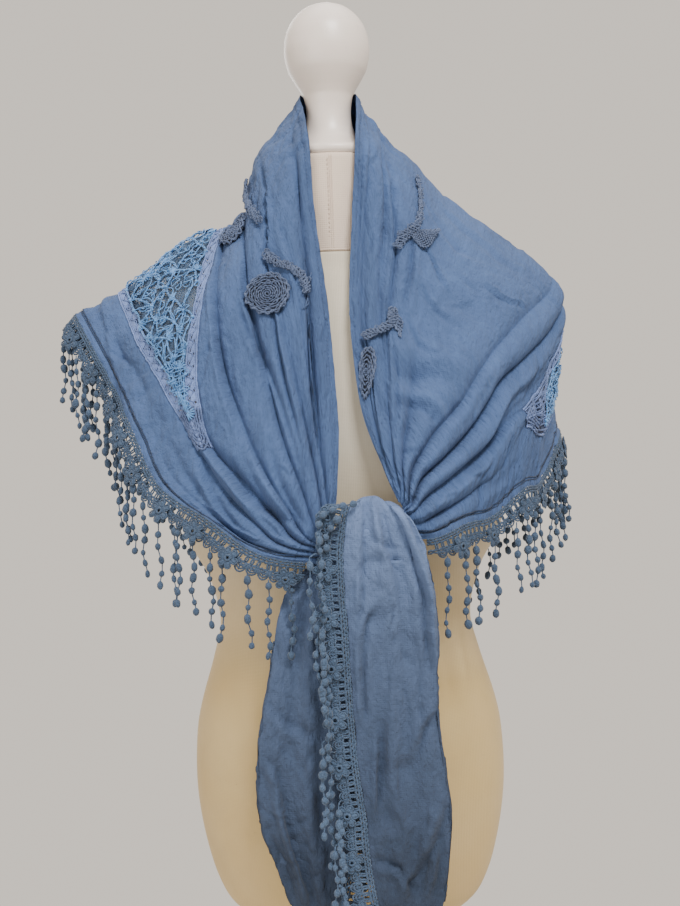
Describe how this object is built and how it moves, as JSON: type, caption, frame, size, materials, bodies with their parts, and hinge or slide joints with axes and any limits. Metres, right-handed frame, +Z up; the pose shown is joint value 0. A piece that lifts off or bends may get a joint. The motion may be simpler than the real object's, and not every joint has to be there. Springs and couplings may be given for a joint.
{
  "type": "triangle scarf on a dress form",
  "caption": "Fringed cotton triangle scarf with leaf-shaped lace insets and raised crochet, knotted in front on a limbless dress form with a pole and round base.",
  "frame": {"origin": "centre of the base's underside on the floor, on the pole's axis", "axes": "+Z up, the wearer's front faces -Y, +X is the wearer's left"},
  "size_m": [0.5199, 0.3291, 1.1918],
  "materials": {
    "scarf_cloth": "crinkled cotton voile",
    "tail_cloth": "crinkled cotton voile",
    "net_lace": "ribbon net lace",
    "edging_lace": "eyelet braid",
    "crochet_cord": "matt crochet cord",
    "crochet_trim": "matt crochet with bobbles",
    "form_jersey": "stretched cream jersey over padding",
    "form_canvas": "cream canvas",
    "form_paint": "off-white satin paint",
    "stand_metal": "satin grey"
  },
  "bodies": {
    "root": {"cloth_right_front": "scarf_cloth", "cloth_back": "scarf_cloth", "cloth_left_front": "scarf_cloth", "inset_edging_right": "edging_lace", "inset_net_right": "net_lace", "inset_edging_left": "edging_lace", "inset_net_left": "net_lace", "rosette_right_large": "crochet_cord", "rosette_right_small": "crochet_cord", "rosette_left": "crochet_cord", "vine_right_upper": "crochet_cord", "vine_right_lower": "crochet_cord", "vine_left_upper": "crochet_cord", "vine_left_lower": "crochet_cord", "leaf_left": "crochet_cord", "tail_front": "tail_cloth", "tail_back": "tail_cloth", "knot_core": "tail_cloth", "trim_right_front": "crochet_trim", "trim_back": "crochet_trim", "trim_left_front": "crochet_trim", "trim_tail_front": "crochet_trim", "trim_tail_back": "crochet_trim", "finial": "form_paint", "neck_block": "form_canvas", "torso": "form_jersey", "pole": "stand_metal", "base": "stand_metal"}
  },
  "joints": []
}
